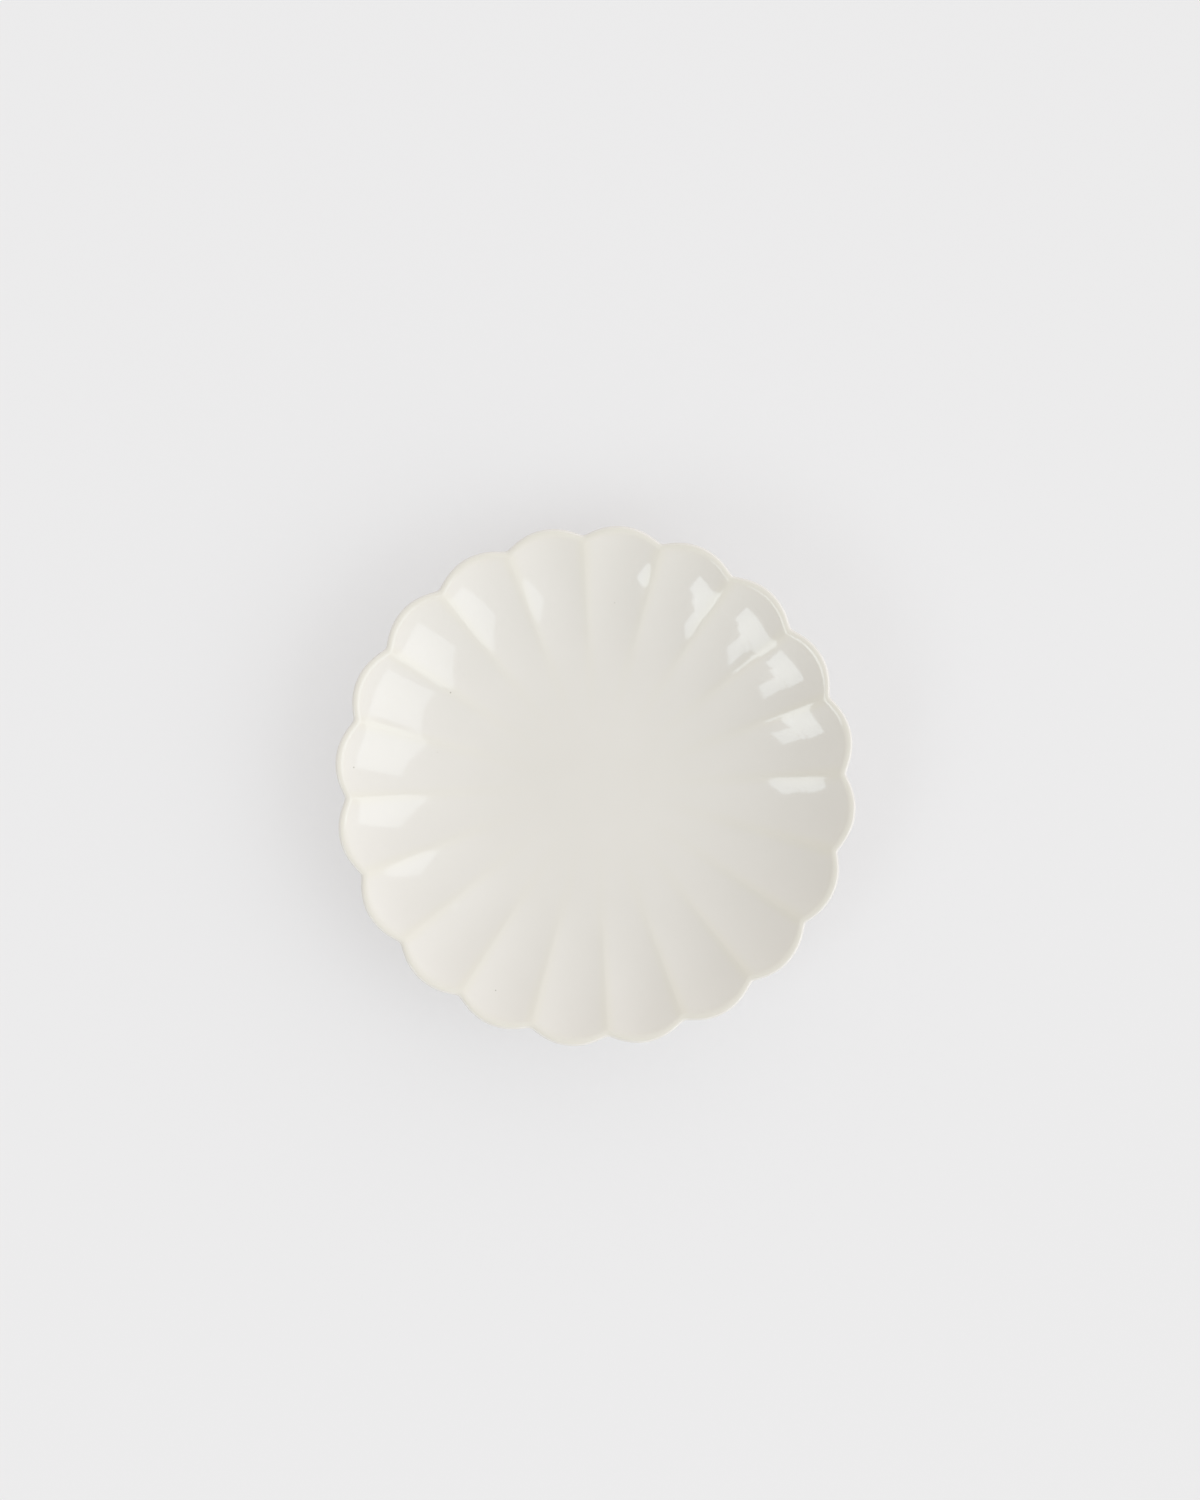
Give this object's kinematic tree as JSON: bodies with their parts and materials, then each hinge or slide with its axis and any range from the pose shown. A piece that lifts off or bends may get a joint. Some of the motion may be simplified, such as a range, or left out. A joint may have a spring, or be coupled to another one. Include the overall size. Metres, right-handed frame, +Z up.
{
  "type": "chrysanthemum plate",
  "caption": "Small round ceramic plate with a dished floor, a fluted wall of hollow petals, a scalloped rounded lip and a foot ring, for serving and holding food.",
  "frame": {"origin": "centre of the plane that the foot ring stands on", "axes": "+Z up along the plate's axis, +X out through the middle of a petal"},
  "size_m": [0.16, 0.16, 0.028],
  "materials": {
    "milky_glaze": "glossy milky-white glaze on pressed stoneware, thinning to cream on ridges and lip",
    "foot_clay": "stoneware foot, glazed on its walls and wiped bare on the standing edge"
  },
  "bodies": {
    "root": {"dish": "milky_glaze", "foot_ring": "foot_clay"}
  },
  "joints": []
}
